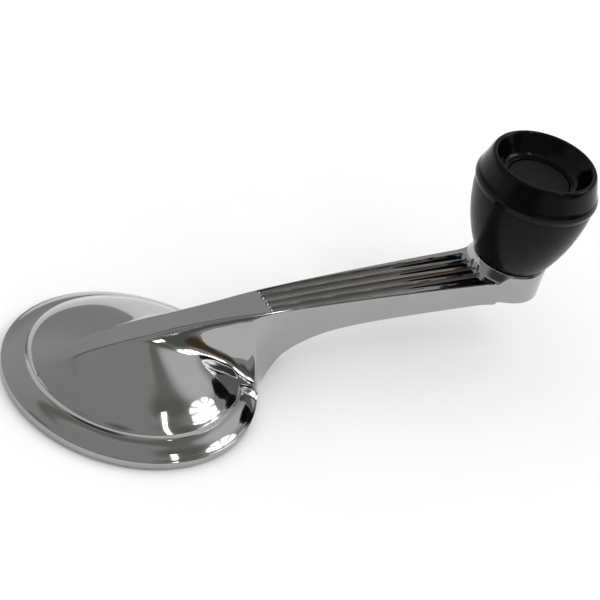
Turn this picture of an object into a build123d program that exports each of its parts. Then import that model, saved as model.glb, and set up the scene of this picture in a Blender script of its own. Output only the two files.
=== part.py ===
"""Chromed crank handle with a spinning knob: one STEP file for each physical piece.

Units are millimetres.  The origin is on the shaft axis, in the plane of the round flange's
back.  +Z runs out along the shaft, away from the panel that the handle is fitted to, and
+X runs along the arm towards the knob.  The handle is symmetric about the plane y = 0.
"""
from build123d import *
import os
from math import cos, exp, hypot, radians, sin, sqrt, tan

# Driving dimensions of the handle
ARM_LENGTH = 100.0          # shaft axis to knob axis
FLANGE_RADIUS = 30.0
RIM_HEIGHT = 1.7            # straight edge of the flange
RING_INSIDE = 24.7          # inner edge of the flange's convex ring
RING_HEIGHT = 3.9           # height of the flange at that edge
FOOT_RADIUS = 24.4          # foot of the dome, a small step inside that edge
FOOT_HEIGHT = 5.2           # height of the step's top
RIM_ROUND = (0.5, 0.3)      # inward run and rise of the rim's rounded edge
RING_BULGE = (2.6, 0.75)    # middle of the convex ring, in from the rim and under RING_HEIGHT
FOOT_LEAVE_ANGLE = 50.0     # degrees from the arm's line to where the foot leaves its circle
NECK_FILLET = 13.0          # plan radius between the flange and the arm
NECK_FILLET_ANGLE = 24.0    # degrees from the arm's line to where that fillet leaves the flange
NECK_END = 38.0             # x where the dome has become the arm's straight side
NECK_WEB_HEIGHT = 2.3       # height of the flange's edge between those fillets

# Crest of the dome and top of the arm, as a height over x
CREST_LIMIT = 22.3
CREST_RISE = 6.7
CREST_LENGTH = 45.0
TAIL_DROP = 5.5
TAIL_LENGTH = 4.5

# Flanks of the dome: straight behind the shaft, then part of a round dome, out of which the
# arm's side walls rise until they take up the whole flank at the neck
TAIL_CURVE = 0.21           # share of the tail flank's fall that comes close to the foot
TAIL_POWER = 6              # how close to the foot it comes
TAIL_END = -10.0            # x where the tail's flank starts to turn into the round dome
ROUND_START = 8.0           # x where it has done so
ROUND_TOP = 16.0            # height of the round dome's cone on the axis
ROUND_SLOPE = 0.38
ROUND_ROLL = 0.24           # how much steeper the dome is at ROUND_ROLL_RADIUS
ROUND_ROLL_RADIUS = 22.0
ROUND_ROLL_POWER = 6        # how late that roll comes
WALL_START = -2.0
WALL_END = 17.0
WALL_ANGLES = (40.0, 72.0)  # slope of the arm's wall at WALL_START and at WALL_END
WALL_FILLET = 1.3
FLANK_LEAST = 0.1           # the flank never falls under this, on a line down to the foot
NECK_START = 20.0           # x where the wall starts to take up the whole flank
NECK_FULL = 27.0

# Half width of the crest band, which widens along the arm
BAND_HALF_WIDTH = 2.95
BAND_TAPER = 0.0455
BAND_TIP_LENGTH = 5.0

# Underside of the arm, as a height over x
UNDERSIDE_START = 32.5
UNDERSIDE_RISE = 12.2
UNDERSIDE_LENGTH = 7.6
UNDERSIDE_SLOPE = 0.047
UNDERSIDE_END = 93.2        # x where the underside meets the boss

# Boss at the end of the arm
BOSS_RADIUS = 9.5
BOSS_TOP = 24.0
BOSS_BOTTOM = 16.0
BOSS_NOTCH = 0.8            # run of the small step up from the underside to the boss
BOSS_TOUCH_ANGLE = 108.0    # degrees from the arm's line to where the arm's flare meets the boss
FLARE_LENGTH = 2.5          # length of the bend into the flare, each side of its corner
RISER_TOP = 9.35            # radius of the boss's flat top
RISER_FOOT = 11.1           # radius where the sweep up to that top starts, under the arm's top
RISER_FOOT_HEIGHT = 20.9
RISER_MIDDLE = (9.75, 22.1)

# Flutes in the top of the arm
FLUTE_COUNT = 4
FLUTE_START = 32.0
FLUTE_END = 89.0
FLUTE_START_PITCH = 2.2
FLUTE_END_PITCH = 2.7
FLUTE_RADIUS = 1.0
FLUTE_LIFT = 0.22           # the flute's centre stands this far above the surface

# Hollow back of the flange, hub and its ribs
CAVITY_RADIUS = 21.5
CAVITY_EDGE_DEPTH = 2.5
CAVITY_MIDDLE = (18.5, 7.3)
CAVITY_DEPTH = 10.5
HUB_RADIUS = 10.5
RIB_WIDTH = 1.8
RIB_BOTTOM = 5.0
RIB_ANGLES = (45, 135, 225, 315)

# Splined insert, the bore of which takes the shaft
BORE_RADIUS = 5.0
INSERT_RADIUS = 7.0
INSERT_LENGTH = 12.0
SPLINE_COUNT = 20
SPLINE_WIDTH = 0.3
SPLINE_DEPTH = 0.35

# Horseshoe clip in two slots across the hub
CLIP_WIRE_RADIUS = 0.7
CLIP_LEG_Y = 5.85
CLIP_LEG_HALF_LENGTH = 11.5
CLIP_HEIGHT = 2.6
CLIP_TIP_RADIUS = 1.6
SLOT_INNER_Y = 5.1
SLOT_OUTER_Y = 6.7
SLOT_HALF_HEIGHT = 0.75

# Wear ring in a rebate round the flange's back
RING_INNER_RADIUS = 22.8
RING_OUTER_RADIUS = 27.6
RING_PROUD = 0.5
REBATE_DEPTH = 1.0
REBATE_CLEARANCE = 0.3

# Knob: barrel, collar, plug and sleeve
KNOB_BASE = 24.4
KNOB_BASE_RADIUS = 9.3
BARREL_MIDDLE = (13.2, 33.7)
BARREL_TOP = 43.7
BARREL_TOP_RADIUS = 14.95
SPIGOT_RADIUS = 11.0
SPIGOT_TOP = 45.7
COLLAR_RADIUS = 15.4
COLLAR_EDGE = 45.2          # height of the collar's widest line
COLLAR_DRAFT = 0.2          # the collar's lower edge is this much inside that line
COLLAR_EDGE_MIDDLE = (0.5, 1.1)  # middle of the collar's slope, in from and above that line
LIP_TOP = 52.1
LIP_RADIUS = 12.5
LIP_ROUND = (0.75, 0.8)     # run and drop of the lip's rounded edge
MOUTH_RADIUS = 11.5
RECESS_FLOOR = 46.9
LEDGE_HEIGHT = 0.4          # the recess's ledge stands this far above its floor
LEDGE_WIDTH = 1.2
PLUG_RADIUS = 7.7
PLUG_THICKNESS = 1.0
SLEEVE_RADIUS = 5.0
SLEEVE_TOP = 42.0
HEAD_CHAMBER_RADIUS = 7.0

# Stud that the knob turns on, and its washers
STUD_RADIUS = 3.2
RUNNING_CLEARANCE = 0.05
TENON_RADIUS = 2.5
STUD_HEAD_RADIUS = 5.5
STUD_HEAD_HEIGHT = 1.7
HEAD_WASHER_RADIUS = 6.2
HEAD_WASHER_THICKNESS = 0.9
HEAD_CLEARANCE = 0.15       # end play between the head's washer and the sleeve
PEEN_RADIUS = 3.9
PEEN_HEIGHT = 0.9
PEEN_CHAMFER = 0.4
PEEN_WASHER_RADIUS = 5.0
PEEN_WASHER_THICKNESS = 0.8
PEEN_POCKET_RADIUS = 5.6
PEEN_POCKET_DEPTH = 1.7
SPRING_WASHER_RADIUS = 7.4
SPRING_WASHER_THICKNESS = 0.25
SPRING_WASHER_BORE = 3.3
SPRING_WASHER_GAP = 0.05    # between the washer's high edge and the knob

OVERCUT = 1.0               # how far a cut runs past the surface that it opens

SECTION_COUNT = 18          # cross-sections that shape the dome
SECTION_INSET = 0.5         # the first one stands this far inside the foot's circle
SECTION_CROWDING = 1.1      # above 1, they stand closer together at the tail
SECTION_SHARES = (0.07, 0.15, 0.24, 0.36, 0.52, 0.7, 0.88)


def crest_height(x):
    """Height of the crest band over x, from the tail of the dome to the boss."""
    rise = CREST_RISE * exp(-x / CREST_LENGTH)
    tail = TAIL_DROP * exp(-(x + FOOT_RADIUS) / TAIL_LENGTH)
    return CREST_LIMIT - rise - tail


def band_half_width(x):
    """Half the width of the crest band over x."""
    tip = 1 - exp(-(x + FOOT_RADIUS) / BAND_TIP_LENGTH)
    return (BAND_HALF_WIDTH + BAND_TAPER * x) * tip


def underside_height(x):
    """Height of the arm's underside over x."""
    run = x - UNDERSIDE_START
    return UNDERSIDE_RISE * (1 - exp(-run / UNDERSIDE_LENGTH)) + UNDERSIDE_SLOPE * run


def foot_half_width(x):
    """Half the width of the dome at its foot: a circle that runs out into the arm's sides."""
    leave_angle = radians(FOOT_LEAVE_ANGLE)
    leave_x = FOOT_RADIUS * cos(leave_angle)
    if x <= leave_x:
        return sqrt(FOOT_RADIUS ** 2 - x ** 2)
    leave_y = FOOT_RADIUS * sin(leave_angle)
    run = NECK_END - leave_x
    t = (x - leave_x) / run
    start = (2 * t ** 3 - 3 * t ** 2 + 1) * leave_y
    start_slope = (t ** 3 - 2 * t ** 2 + t) * run * (-leave_x / leave_y)
    end = (3 * t ** 2 - 2 * t ** 3) * band_half_width(NECK_END)
    return start + start_slope + end


def smooth_step(value, low, high):
    """0 below low, 1 above high, and a smooth rise between them."""
    t = min(max((value - low) / (high - low), 0), 1)
    return t * t * (3 - 2 * t)


def round_height(reach):
    """Height of the round dome at that distance from the shaft's axis."""
    power = ROUND_ROLL_POWER + 1
    roll = ROUND_ROLL * ROUND_ROLL_RADIUS / power * (reach / ROUND_ROLL_RADIUS) ** power
    return ROUND_TOP - ROUND_SLOPE * reach - roll


def flank_height(x, share):
    """Height of the dome's flank over x: share is 0 at the band's edge and 1 at the foot."""
    half = band_half_width(x)
    width = foot_half_width(x) - half
    top = crest_height(x)
    fall = (1 - TAIL_CURVE) * share + TAIL_CURVE * share ** TAIL_POWER
    tail = top - (top - FOOT_HEIGHT) * fall
    rounded = min(round_height(hypot(x, half + share * width)), top)
    dome = tail + (rounded - tail) * smooth_step(x, TAIL_END, ROUND_START)
    neck = smooth_step(x, NECK_START, NECK_FULL)
    grown = smooth_step(x, WALL_START, WALL_END)
    angle = WALL_ANGLES[0] + (WALL_ANGLES[1] - WALL_ANGLES[0]) * grown
    drop = (1 - neck) * tan(radians(angle)) * width + neck * (top - FOOT_HEIGHT)
    wall = top - drop * share
    fillet = WALL_FILLET * (1 - neck) * grown
    height = (dome + wall + hypot(dome - wall, fillet)) / 2
    return min(max(height, FOOT_HEIGHT + FLANK_LEAST * (1 - share)), top)


def cylinder(radius, low, high, x=0.0):
    """An upright cylinder between two heights."""
    return Pos(x, 0, (low + high) / 2) * Cylinder(radius, high - low)


def tube(inner, outer, low, high, x=0.0):
    """An upright tube between two heights."""
    return cylinder(outer, low, high, x) - cylinder(inner, low, high, x)


def turned(points_and_edges):
    """A solid of revolution about Z from edges in the XZ plane."""
    return revolve(make_face(points_and_edges), Axis.Z)


def block(low, high):
    """A box between two corners."""
    size = [b - a for a, b in zip(low, high)]
    centre = [(a + b) / 2 for a, b in zip(low, high)]
    return Pos(*centre) * Box(*size)


# Handle casting -----------------------------------------------------------------------------

def flange():
    """The round flange, with a straight rim and a convex ring inside it."""
    shoulder = (FLANGE_RADIUS - RIM_ROUND[0], 0, RIM_HEIGHT + RIM_ROUND[1])
    middle = (FLANGE_RADIUS - RING_BULGE[0], 0, RING_HEIGHT - RING_BULGE[1])
    edges = [
        Line((0, 0, 0), (FLANGE_RADIUS, 0, 0)),
        Line((FLANGE_RADIUS, 0, 0), (FLANGE_RADIUS, 0, RIM_HEIGHT)),
        Line((FLANGE_RADIUS, 0, RIM_HEIGHT), shoulder),
        ThreePointArc(shoulder, middle, (RING_INSIDE, 0, RING_HEIGHT)),
        Line((RING_INSIDE, 0, RING_HEIGHT), (0, 0, RING_HEIGHT)),
        Line((0, 0, RING_HEIGHT), (0, 0, 0)),
    ]
    return turned(edges)


def neck_plan():
    """Plan outline of the web that joins the flange to the arm, with its two fillets."""
    angle = radians(NECK_FILLET_ANGLE)
    reach = FLANGE_RADIUS + NECK_FILLET
    centre = (reach * cos(angle), reach * sin(angle))
    leave = (FLANGE_RADIUS * cos(angle), FLANGE_RADIUS * sin(angle))
    turn = (angle + radians(90)) / 2
    middle = (centre[0] - NECK_FILLET * cos(turn), centre[1] - NECK_FILLET * sin(turn))
    end = (centre[0], centre[1] - NECK_FILLET)
    inner = (FOOT_RADIUS * cos(angle), FOOT_RADIUS * sin(angle))
    edges = [
        Line((inner[0], -inner[1]), inner),
        Line(inner, leave),
        ThreePointArc(leave, middle, end),
        Line(end, (end[0], -end[1])),
        ThreePointArc((end[0], -end[1]), (middle[0], -middle[1]), (leave[0], -leave[1])),
        Line((leave[0], -leave[1]), (inner[0], -inner[1])),
    ]
    return make_face(edges)


def dome_section(x):
    """Cross-section of the dome over x: flat foot, curved flanks and the crest band."""
    half = band_half_width(x)
    foot = foot_half_width(x)
    right = [(x, half + t * (foot - half), flank_height(x, t)) for t in SECTION_SHARES]
    left = [(x, -y, z) for _, y, z in right]
    crest = crest_height(x)
    edges = [
        Line((x, -foot, 0), (x, foot, 0)),
        Line((x, foot, 0), (x, foot, FOOT_HEIGHT)),
        Spline((x, foot, FOOT_HEIGHT), *reversed(right), (x, half, crest)),
        Line((x, half, crest), (x, -half, crest)),
        Spline((x, -half, crest), *left, (x, -foot, FOOT_HEIGHT)),
        Line((x, -foot, FOOT_HEIGHT), (x, -foot, 0)),
    ]
    return make_face(edges)


def dome():
    """The dome and neck, lofted from its tail to where it has become the arm."""
    start = -FOOT_RADIUS + SECTION_INSET
    places = []
    for step in range(SECTION_COUNT):
        share = step / (SECTION_COUNT - 1)
        places.append(start + (NECK_END - start) * share ** SECTION_CROWDING)
    return loft([dome_section(x) for x in places])


def flare_points():
    """Plan points of the arm's flare: where its bend starts and ends, and where it meets the boss."""
    touch = radians(BOSS_TOUCH_ANGLE)
    on_boss = (ARM_LENGTH + BOSS_RADIUS * cos(touch), BOSS_RADIUS * sin(touch))
    slope = -cos(touch) / sin(touch)
    corner = (on_boss[1] - slope * on_boss[0] - BAND_HALF_WIDTH) / (BAND_TAPER - slope)
    start = corner - FLARE_LENGTH
    end = corner + FLARE_LENGTH
    bend_end = (end, on_boss[1] + slope * (end - on_boss[0]))
    return (start, band_half_width(start)), bend_end, on_boss


def arm_plan():
    """Plan outline of the arm, from the end of the neck to the boss."""
    bend_start, bend_end, on_boss = flare_points()
    side = [(x, band_half_width(x)) for x in (NECK_END, 53.0, 68.0)] + [bend_start]
    touch = radians(BOSS_TOUCH_ANGLE)
    bend = Spline(bend_start, bend_end, tangents=[(1, BAND_TAPER), (sin(touch), -cos(touch))])
    upper = [Polyline(*side), bend, Line(bend_end, on_boss)]
    lower = [mirror(edge, Plane.XZ) for edge in upper]
    below = (on_boss[0], -on_boss[1])
    tip = ThreePointArc(on_boss, (ARM_LENGTH + BOSS_RADIUS, 0), below)
    neck = Line((NECK_END, -side[0][1]), side[0])
    return make_face(upper + [tip] + lower + [neck])


def arm_top():
    """Side view of the arm, from the back plane up to the crest."""
    tops = [(x, 0, crest_height(x)) for x in (NECK_END, 46.0, 56.0, 68.0, 82.0, ARM_LENGTH)]
    far = ARM_LENGTH + BOSS_RADIUS + OVERCUT
    edges = [
        Line((NECK_END, 0, 0), tops[0]),
        Spline(*tops),
        Line(tops[-1], (far, 0, tops[-1][2])),
        Line((far, 0, tops[-1][2]), (far, 0, 0)),
        Line((far, 0, 0), (NECK_END, 0, 0)),
    ]
    return make_face(edges)


def boss_riser():
    """The boss's flat top and the sweep up to it, round the knob's axis."""
    low = BOSS_BOTTOM + OVERCUT
    foot = (RISER_FOOT, 0, RISER_FOOT_HEIGHT)
    middle = (RISER_MIDDLE[0], 0, RISER_MIDDLE[1])
    edges = [
        Line((0, 0, low), (RISER_FOOT, 0, low)),
        Line((RISER_FOOT, 0, low), foot),
        ThreePointArc(foot, middle, (RISER_TOP, 0, BOSS_TOP)),
        Line((RISER_TOP, 0, BOSS_TOP), (0, 0, BOSS_TOP)),
        Line((0, 0, BOSS_TOP), (0, 0, low)),
    ]
    return Pos(ARM_LENGTH, 0, 0) * turned(edges)


def arm():
    """The arm with its boss, standing on the back plane until its underside is cut."""
    tall = extrude(arm_plan(), BOSS_TOP + OVERCUT)
    wide = extrude(arm_top(), FLANGE_RADIUS, both=True)
    return (tall & wide) + (tall & boss_riser())


def underside_tool():
    """The space below the neck, the arm and the boss."""
    lows = [UNDERSIDE_START, 34.5, 37.5, 42.0, 50.0, 62.0, 76.0, UNDERSIDE_END]
    low_end = (UNDERSIDE_END, 0, underside_height(UNDERSIDE_END))
    notch = (UNDERSIDE_END + BOSS_NOTCH, 0, BOSS_BOTTOM)
    far = ARM_LENGTH + BOSS_RADIUS + 2 * OVERCUT
    edges = [
        Spline(*[(x, 0, underside_height(x)) for x in lows]),
        Line(low_end, notch),
        Line(notch, (far, 0, BOSS_BOTTOM)),
        Line((far, 0, BOSS_BOTTOM), (far, 0, -OVERCUT)),
        Line((far, 0, -OVERCUT), (UNDERSIDE_START, 0, -OVERCUT)),
        Line((UNDERSIDE_START, 0, -OVERCUT), (UNDERSIDE_START, 0, 0)),
    ]
    return extrude(make_face(edges), FLANGE_RADIUS, both=True)


def flute(number):
    """One groove along the top of the arm; the grooves spread as the arm widens."""
    place = number - (FLUTE_COUNT - 1) / 2
    ends = []
    for x, pitch in ((FLUTE_START, FLUTE_START_PITCH), (FLUTE_END, FLUTE_END_PITCH)):
        ends.append((x, place * pitch, crest_height(x) + FLUTE_LIFT))
    middle_x = (FLUTE_START + FLUTE_END) / 2
    middle = (middle_x, (ends[0][1] + ends[1][1]) / 2, crest_height(middle_x) + FLUTE_LIFT)
    path = ThreePointArc(ends[0], middle, ends[1])
    round_cut = sweep(Plane(origin=path @ 0, z_dir=path % 0) * Circle(FLUTE_RADIUS), path)
    return round_cut + [Pos(*end) * Sphere(FLUTE_RADIUS) for end in ends]


def hub_cavity():
    """The hollow in the flange's back, round the hub, with its ribs left standing."""
    edge = (CAVITY_RADIUS, 0, CAVITY_EDGE_DEPTH)
    middle = (CAVITY_MIDDLE[0], 0, CAVITY_MIDDLE[1])
    ceiling = (HUB_RADIUS, 0, CAVITY_DEPTH)
    edges = [
        Line((HUB_RADIUS, 0, -OVERCUT), (CAVITY_RADIUS, 0, -OVERCUT)),
        Line((CAVITY_RADIUS, 0, -OVERCUT), edge),
        ThreePointArc(edge, middle, ceiling),
        Line(ceiling, (HUB_RADIUS, 0, -OVERCUT)),
    ]
    space = turned(edges)
    for angle in RIB_ANGLES:
        low = (HUB_RADIUS - OVERCUT, -RIB_WIDTH / 2, RIB_BOTTOM)
        high = (CAVITY_RADIUS + OVERCUT, RIB_WIDTH / 2, CAVITY_DEPTH + OVERCUT)
        space -= Rot(0, 0, angle) * block(low, high)
    return space


def clip_slots():
    """The two slots across the hub that hold the clip's legs."""
    reach = HUB_RADIUS + OVERCUT
    low = (-reach, SLOT_INNER_Y, CLIP_HEIGHT - SLOT_HALF_HEIGHT)
    high = (reach, SLOT_OUTER_Y, CLIP_HEIGHT + SLOT_HALF_HEIGHT)
    slot = block(low, high)
    return slot + mirror(slot, Plane.XZ)


def handle_casting():
    """The one-piece die casting: flange, dome, arm and boss."""
    body = flange() + extrude(neck_plan(), NECK_WEB_HEIGHT) + dome() + arm()
    body -= underside_tool()
    body -= hub_cavity()
    body -= cylinder(INSERT_RADIUS, -OVERCUT, INSERT_LENGTH)
    body -= clip_slots()
    body -= tube(RING_INNER_RADIUS - REBATE_CLEARANCE, RING_OUTER_RADIUS + REBATE_CLEARANCE,
                 -OVERCUT, REBATE_DEPTH)
    for number in range(FLUTE_COUNT):
        body -= flute(number)
    below = BOSS_BOTTOM - OVERCUT
    body -= cylinder(TENON_RADIUS, below, BOSS_TOP + OVERCUT, ARM_LENGTH)
    body -= cylinder(PEEN_POCKET_RADIUS, below, BOSS_BOTTOM + PEEN_POCKET_DEPTH, ARM_LENGTH)
    return body


# Hub pieces ---------------------------------------------------------------------------------

def spline_insert():
    """Steel bush pressed into the hub, with fine splines and the clip's slots."""
    bush = tube(BORE_RADIUS, INSERT_RADIUS, 0, INSERT_LENGTH)
    low = (BORE_RADIUS - SPLINE_DEPTH, -SPLINE_WIDTH / 2, -OVERCUT)
    high = (BORE_RADIUS + SPLINE_DEPTH, SPLINE_WIDTH / 2, INSERT_LENGTH + OVERCUT)
    groove = block(low, high)
    for number in range(SPLINE_COUNT):
        bush -= Rot(0, 0, (number + 0.5) * 360 / SPLINE_COUNT) * groove
    return bush - clip_slots()


def retaining_clip():
    """Horseshoe of spring wire; its legs lie in the hub's slots and grip the shaft's groove."""
    leg = CLIP_LEG_HALF_LENGTH
    tip = CLIP_TIP_RADIUS
    z = CLIP_HEIGHT
    run = tip * sin(radians(45))
    rise = tip * (1 - cos(radians(45)))
    tip_arc = ThreePointArc(
        (leg + run, CLIP_LEG_Y + rise, z),
        (leg + tip * sin(radians(22.5)), CLIP_LEG_Y + tip * (1 - cos(radians(22.5))), z),
        (leg, CLIP_LEG_Y, z))
    path = Wire([
        tip_arc,
        Line((leg, CLIP_LEG_Y, z), (-leg, CLIP_LEG_Y, z)),
        ThreePointArc((-leg, CLIP_LEG_Y, z), (-leg - CLIP_LEG_Y, 0, z), (-leg, -CLIP_LEG_Y, z)),
        Line((-leg, -CLIP_LEG_Y, z), (leg, -CLIP_LEG_Y, z)),
        mirror(tip_arc, Plane.XZ).edge(),
    ])
    start = Plane(origin=path @ 0, z_dir=path % 0)
    return sweep(start * Circle(CLIP_WIRE_RADIUS), path)


def wear_ring():
    """Plastic ring that keeps the flange off the panel and stands still as the handle turns."""
    return tube(RING_INNER_RADIUS, RING_OUTER_RADIUS, -RING_PROUD, REBATE_DEPTH)


# Knob and the stud that it turns on ---------------------------------------------------------

def knob_barrel():
    """Lower part of the knob, with the bore for its sleeve and the chamber for the stud's head."""
    edges = [
        Line((0, 0, KNOB_BASE), (KNOB_BASE_RADIUS, 0, KNOB_BASE)),
        ThreePointArc((KNOB_BASE_RADIUS, 0, KNOB_BASE), (BARREL_MIDDLE[0], 0, BARREL_MIDDLE[1]),
                      (BARREL_TOP_RADIUS, 0, BARREL_TOP)),
        Line((BARREL_TOP_RADIUS, 0, BARREL_TOP), (SPIGOT_RADIUS, 0, BARREL_TOP)),
        Line((SPIGOT_RADIUS, 0, BARREL_TOP), (SPIGOT_RADIUS, 0, SPIGOT_TOP)),
        Line((SPIGOT_RADIUS, 0, SPIGOT_TOP), (0, 0, SPIGOT_TOP)),
        Line((0, 0, SPIGOT_TOP), (0, 0, KNOB_BASE)),
    ]
    barrel = Pos(ARM_LENGTH, 0, 0) * turned(edges)
    barrel -= cylinder(SLEEVE_RADIUS, KNOB_BASE - OVERCUT, SLEEVE_TOP, ARM_LENGTH)
    return barrel - cylinder(HEAD_CHAMBER_RADIUS, SLEEVE_TOP, SPIGOT_TOP + OVERCUT, ARM_LENGTH)


def knob_collar():
    """Glossy ring that caps the barrel, with the recess in its top."""
    ledge = RECESS_FLOOR + LEDGE_HEIGHT
    lower_edge = (COLLAR_RADIUS - COLLAR_DRAFT, 0, BARREL_TOP)
    widest = (COLLAR_RADIUS, 0, COLLAR_EDGE)
    slope = (COLLAR_RADIUS - COLLAR_EDGE_MIDDLE[0], 0, COLLAR_EDGE + COLLAR_EDGE_MIDDLE[1])
    lip_outside = (LIP_RADIUS + LIP_ROUND[0], 0, LIP_TOP - LIP_ROUND[1])
    lip_inside = (MOUTH_RADIUS, 0, LIP_TOP - LIP_ROUND[1])
    edges = [
        Line((SPIGOT_RADIUS, 0, BARREL_TOP), lower_edge),
        Line(lower_edge, widest),
        ThreePointArc(widest, slope, lip_outside),
        ThreePointArc(lip_outside, (LIP_RADIUS, 0, LIP_TOP), lip_inside),
        Line(lip_inside, (PLUG_RADIUS + LEDGE_WIDTH, 0, ledge)),
        Line((PLUG_RADIUS + LEDGE_WIDTH, 0, ledge), (PLUG_RADIUS, 0, ledge)),
        Line((PLUG_RADIUS, 0, ledge), (PLUG_RADIUS, 0, SPIGOT_TOP)),
        Line((PLUG_RADIUS, 0, SPIGOT_TOP), (SPIGOT_RADIUS, 0, SPIGOT_TOP)),
        Line((SPIGOT_RADIUS, 0, SPIGOT_TOP), (SPIGOT_RADIUS, 0, BARREL_TOP)),
    ]
    return Pos(ARM_LENGTH, 0, 0) * turned(edges)


def knob_plug():
    """Disc that closes the knob over the stud's head."""
    return cylinder(PLUG_RADIUS, RECESS_FLOOR - PLUG_THICKNESS, RECESS_FLOOR, ARM_LENGTH)


def knob_sleeve():
    """Brass bearing sleeve moulded into the barrel."""
    bore = STUD_RADIUS + RUNNING_CLEARANCE
    return tube(bore, SLEEVE_RADIUS, KNOB_BASE, SLEEVE_TOP, ARM_LENGTH)


def head_low():
    """Height of the underside of the stud's head, above the sleeve and its washer."""
    return SLEEVE_TOP + HEAD_WASHER_THICKNESS + HEAD_CLEARANCE


def knob_stud():
    """Steel shoulder stud, riveted through the boss, that the knob turns on."""
    shoulder = cylinder(STUD_RADIUS, BOSS_TOP, head_low(), ARM_LENGTH)
    head = cylinder(STUD_HEAD_RADIUS, head_low(), head_low() + STUD_HEAD_HEIGHT, ARM_LENGTH)
    washer_low = BOSS_BOTTOM + PEEN_POCKET_DEPTH - PEEN_WASHER_THICKNESS
    tenon = cylinder(TENON_RADIUS, washer_low, BOSS_TOP, ARM_LENGTH)
    peen = cylinder(PEEN_RADIUS, washer_low - PEEN_HEIGHT, washer_low, ARM_LENGTH)
    peen = chamfer(peen.edges().group_by(Axis.Z)[0], PEEN_CHAMFER)
    return shoulder + head + tenon + peen


def peen_washer():
    """Flat washer under the riveted end of the stud."""
    top = BOSS_BOTTOM + PEEN_POCKET_DEPTH
    return tube(TENON_RADIUS, PEEN_WASHER_RADIUS, top - PEEN_WASHER_THICKNESS, top, ARM_LENGTH)


def head_washer():
    """Flat washer between the stud's head and the sleeve."""
    top = head_low()
    return tube(STUD_RADIUS, HEAD_WASHER_RADIUS, top - HEAD_WASHER_THICKNESS, top, ARM_LENGTH)


def spring_washer():
    """Dished washer between the boss and the knob, which takes up the end play."""
    inner = SPRING_WASHER_BORE
    thick = SPRING_WASHER_THICKNESS
    rise = KNOB_BASE - BOSS_TOP - thick - SPRING_WASHER_GAP
    edges = [
        Line((inner, 0, BOSS_TOP + rise), (SPRING_WASHER_RADIUS, 0, BOSS_TOP)),
        Line((SPRING_WASHER_RADIUS, 0, BOSS_TOP), (SPRING_WASHER_RADIUS, 0, BOSS_TOP + thick)),
        Line((SPRING_WASHER_RADIUS, 0, BOSS_TOP + thick), (inner, 0, BOSS_TOP + rise + thick)),
        Line((inner, 0, BOSS_TOP + rise + thick), (inner, 0, BOSS_TOP + rise)),
    ]
    return Pos(ARM_LENGTH, 0, 0) * turned(edges)


PIECES = {
    "handle_casting": handle_casting,
    "spline_insert": spline_insert,
    "retaining_clip": retaining_clip,
    "wear_ring": wear_ring,
    "knob_barrel": knob_barrel,
    "knob_collar": knob_collar,
    "knob_plug": knob_plug,
    "knob_sleeve": knob_sleeve,
    "knob_stud": knob_stud,
    "peen_washer": peen_washer,
    "head_washer": head_washer,
    "spring_washer": spring_washer,
}

os.makedirs("parts", exist_ok=True)
for name, make in PIECES.items():
    export_step(make(), f"parts/{name}.step")
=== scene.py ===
"""Looks of a chromed crank handle with a black knob that spins on the end of its arm.

The casting and the knob are dense meshes made from a few formulas, in millimetres, with the
shaft's axis along Z and the arm along +X.  The handle is symmetric about the plane y = 0.
"""
from math import cos, exp, hypot, pi, radians, sin, sqrt, tan

import bpy
import bmesh
import numpy as np
from mathutils import Matrix, Vector


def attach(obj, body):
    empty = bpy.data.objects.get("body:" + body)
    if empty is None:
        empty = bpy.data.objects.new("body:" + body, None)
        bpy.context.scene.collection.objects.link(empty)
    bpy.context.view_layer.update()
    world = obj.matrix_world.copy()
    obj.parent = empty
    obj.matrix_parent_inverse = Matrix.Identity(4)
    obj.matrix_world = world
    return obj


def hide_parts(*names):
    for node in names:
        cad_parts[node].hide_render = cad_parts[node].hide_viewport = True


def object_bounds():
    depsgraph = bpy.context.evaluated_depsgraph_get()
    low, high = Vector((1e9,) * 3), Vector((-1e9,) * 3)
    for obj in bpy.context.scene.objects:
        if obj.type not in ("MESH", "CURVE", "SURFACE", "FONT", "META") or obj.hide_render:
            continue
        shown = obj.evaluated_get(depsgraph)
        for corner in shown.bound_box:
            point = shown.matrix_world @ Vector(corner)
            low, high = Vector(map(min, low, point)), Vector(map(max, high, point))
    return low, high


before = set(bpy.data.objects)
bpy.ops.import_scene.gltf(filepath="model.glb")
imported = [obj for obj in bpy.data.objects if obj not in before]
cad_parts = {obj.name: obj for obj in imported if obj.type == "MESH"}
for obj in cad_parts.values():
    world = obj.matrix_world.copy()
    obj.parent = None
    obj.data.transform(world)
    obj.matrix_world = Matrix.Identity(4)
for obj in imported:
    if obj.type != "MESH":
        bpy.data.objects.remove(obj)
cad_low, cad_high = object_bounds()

MM = 0.001

# Dimensions of the casting in millimetres, as in the CAD
ARM = 100.0                 # shaft's axis to knob's axis
FLANGE = 30.0               # radius of the round flange
RIM_TOP = 1.7               # top of its upright wall
SHOULDER_Z = 1.95           # height of the flange's convex ring at its outer edge
RING_Z = 3.9                # and at its inner edge, at the foot of the step
FOOT = 24.4                 # radius of the dome's foot, which is the step's top
FOOT_Z = 5.2                # height of that foot
BOSS = 9.5                  # radius of the boss under the knob
BOSS_TOP = 24.0
BOSS_LOW = 16.0
BOSS_NOTCH = 0.8            # run of the small step between the underside and the boss
POCKET = 5.6                # pocket for the stud's riveted end
POCKET_DEPTH = 1.7
REBATE_OUT = 27.9           # rebate for the wear ring
REBATE_IN = 22.5
REBATE_DEPTH = 1.0
CAVITY = 21.5               # round hollow in the flange's back
CAVITY_EDGE_Z = 2.5
CAVITY_MIDDLE = (18.5, 7.3)
CAVITY_TOP = 10.5
HUB = 10.5
BORE = 7.0                  # the hub's bore, which takes the steel insert
INSERT_TOP = 12.0
SLOT_Y = (5.1, 6.7)         # slots for the clip's legs
SLOT_Z = (1.85, 3.35)
SLOT_REACH = 12             # half of the slots' length
HUB_CHAMFER = 0.25
HUB_ROUND = 0.4
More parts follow.
